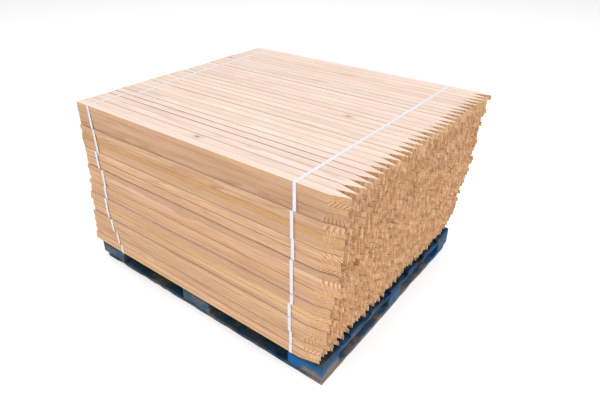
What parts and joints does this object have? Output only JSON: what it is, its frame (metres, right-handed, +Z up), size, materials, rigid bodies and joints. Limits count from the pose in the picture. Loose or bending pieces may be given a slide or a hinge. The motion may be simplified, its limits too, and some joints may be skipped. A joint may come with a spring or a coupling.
{
  "type": "pallet load of wooden stakes",
  "caption": "Stack of sawn, pointed softwood stakes in strapped bundles, laid flat in tiers on a blue four-way block pallet.",
  "frame": {"origin": "middle of the pallet's underside, on the floor", "axes": "+X along the stakes towards their points, +Z up, +Y from the front long side to the back"},
  "size_m": [1.2805, 1.0374, 0.7359],
  "materials": {
    "sawn_softwood": "rough sawn, unplaned",
    "white_strapping": "embossed polypropylene strapping",
    "painted_pallet_wood": "worn blue paint on rough wood"
  },
  "bodies": {
    "root": {"base_board_back": "painted_pallet_wood", "base_board_butt_end": "painted_pallet_wood", "base_board_front": "painted_pallet_wood", "base_board_middle": "painted_pallet_wood", "base_board_tip_end": "painted_pallet_wood", "block_butt_back": "painted_pallet_wood", "block_butt_front": "painted_pallet_wood", "block_butt_middle": "painted_pallet_wood", "block_middle_back": "painted_pallet_wood", "block_middle_front": "painted_pallet_wood", "block_middle_middle": "painted_pallet_wood", "block_tip_back": "painted_pallet_wood", "block_tip_front": "painted_pallet_wood", "block_tip_middle": "painted_pallet_wood", "deck_board_1": "painted_pallet_wood", "deck_board_2": "painted_pallet_wood", "deck_board_3": "painted_pallet_wood", "deck_board_4": "painted_pallet_wood", "deck_board_5": "painted_pallet_wood", "deck_board_6": "painted_pallet_wood", "deck_board_7": "painted_pallet_wood", "stakes_tier_01": "sawn_softwood", "stakes_tier_02": "sawn_softwood", "stakes_tier_03": "sawn_softwood", "stakes_tier_04": "sawn_softwood", "stakes_tier_05": "sawn_softwood", "stakes_tier_06": "sawn_softwood", "stakes_tier_07": "sawn_softwood", "stakes_tier_08": "sawn_softwood", "stakes_tier_09": "sawn_softwood", "stakes_tier_10": "sawn_softwood", "straps_tier_01": "white_strapping", "straps_tier_02": "white_strapping", "straps_tier_03": "white_strapping", "straps_tier_04": "white_strapping", "straps_tier_05": "white_strapping", "straps_tier_06": "white_strapping", "straps_tier_07": "white_strapping", "straps_tier_08": "white_strapping", "straps_tier_09": "white_strapping", "straps_tier_10": "white_strapping", "stringer_board_butt": "painted_pallet_wood", "stringer_board_middle": "painted_pallet_wood", "stringer_board_tip": "painted_pallet_wood"}
  },
  "joints": []
}
